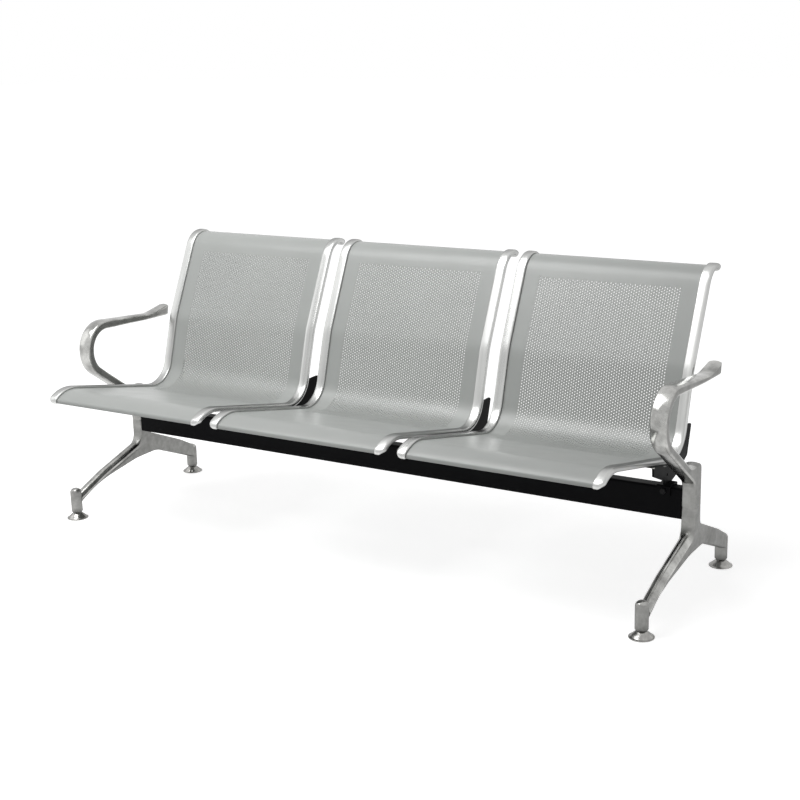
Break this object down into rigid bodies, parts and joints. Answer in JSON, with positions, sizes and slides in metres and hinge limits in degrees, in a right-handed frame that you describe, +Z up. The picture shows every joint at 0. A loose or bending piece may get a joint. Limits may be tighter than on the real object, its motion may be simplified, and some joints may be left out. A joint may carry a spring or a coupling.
{
  "type": "beam seating",
  "caption": "Waiting bench with perforated steel seats in bright side rails on a black beam, cast open-loop arms and splayed cast legs on levelling feet.",
  "frame": {"origin": "on the floor, under the middle of the bench's bounding box", "axes": "+X along the bench to the right as seen from the front, the sitters face -Y, +Z up"},
  "size_m": [1.798, 0.702, 0.7663],
  "materials": {
    "beam": "gloss black powder coat",
    "seat_sheet": "semi-gloss light grey powder coat",
    "rail": "bright plated",
    "bracket": "satin black powder coat",
    "casting": "polished casting",
    "foot": "bright plated",
    "stud": "dark zinc plated",
    "black_bolt": "blackened",
    "zinc_screw": "zinc plated"
  },
  "bodies": {
    "bench": {"beam": "beam", "left_seat_shell": "seat_sheet", "left_seat_left_rail": "rail", "left_seat_left_bracket": "bracket", "left_seat_right_rail": "rail", "left_seat_right_bracket": "bracket", "left_bracket_bolts": "black_bolt", "left_bracket_nuts": "black_bolt", "left_rail_screws": "zinc_screw", "centre_seat_shell": "seat_sheet", "centre_seat_left_rail": "rail", "centre_seat_left_bracket": "bracket", "centre_seat_right_rail": "rail", "centre_seat_right_bracket": "bracket", "centre_bracket_bolts": "black_bolt", "centre_bracket_nuts": "black_bolt", "centre_rail_screws": "zinc_screw", "right_seat_shell": "seat_sheet", "right_seat_left_rail": "rail", "right_seat_left_bracket": "bracket", "right_seat_right_rail": "rail", "right_seat_right_bracket": "bracket", "right_bracket_bolts": "black_bolt", "right_bracket_nuts": "black_bolt", "right_rail_screws": "zinc_screw", "left_arm": "casting", "left_leg": "casting", "left_arm_bolts": "black_bolt", "left_leg_bolts": "black_bolt", "right_arm": "casting", "right_leg": "casting", "right_arm_bolts": "black_bolt", "right_leg_bolts": "black_bolt"},
    "left_front_foot": {"left_front_foot_pad": "foot"},
    "left_front_stud": {"left_front_foot_stud": "stud"},
    "left_rear_foot": {"left_rear_foot_pad": "foot"},
    "left_rear_stud": {"left_rear_foot_stud": "stud"},
    "right_front_foot": {"right_front_foot_pad": "foot"},
    "right_front_stud": {"right_front_foot_stud": "stud"},
    "right_rear_foot": {"right_rear_foot_pad": "foot"},
    "right_rear_stud": {"right_rear_foot_stud": "stud"}
  },
  "joints": [
    {"name": "left_front_foot_travel", "type": "slide", "parent": "bench", "child": "left_front_foot", "axis": [0, 0, -1], "range_m": [0, 0.02]},
    {"name": "left_front_stud_turn", "type": "hinge", "parent": "left_front_foot", "child": "left_front_stud", "pos_m": [-0.869, -0.234, 0.04], "axis": [0, 0, -1], "range_deg": [0, 4801]},
    {"name": "left_rear_foot_travel", "type": "slide", "parent": "bench", "child": "left_rear_foot", "axis": [0, 0, -1], "range_m": [0, 0.02]},
    {"name": "left_rear_stud_turn", "type": "hinge", "parent": "left_rear_foot", "child": "left_rear_stud", "pos_m": [-0.869, 0.276, 0.04], "axis": [0, 0, -1], "range_deg": [0, 4801]},
    {"name": "right_front_foot_travel", "type": "slide", "parent": "bench", "child": "right_front_foot", "axis": [0, 0, -1], "range_m": [0, 0.02]},
    {"name": "right_front_stud_turn", "type": "hinge", "parent": "right_front_foot", "child": "right_front_stud", "pos_m": [0.869, -0.234, 0.04], "axis": [0, 0, -1], "range_deg": [0, 4801]},
    {"name": "right_rear_foot_travel", "type": "slide", "parent": "bench", "child": "right_rear_foot", "axis": [0, 0, -1], "range_m": [0, 0.02]},
    {"name": "right_rear_stud_turn", "type": "hinge", "parent": "right_rear_foot", "child": "right_rear_stud", "pos_m": [0.869, 0.276, 0.04], "axis": [0, 0, -1], "range_deg": [0, 4801]}
  ],
  "couplings": [
    {"joint": "left_front_stud_turn", "follows": "left_front_foot_travel", "rad_per_m": 4188.8},
    {"joint": "left_rear_stud_turn", "follows": "left_rear_foot_travel", "rad_per_m": 4188.8},
    {"joint": "right_front_stud_turn", "follows": "right_front_foot_travel", "rad_per_m": 4188.8},
    {"joint": "right_rear_stud_turn", "follows": "right_rear_foot_travel", "rad_per_m": 4188.8}
  ]
}
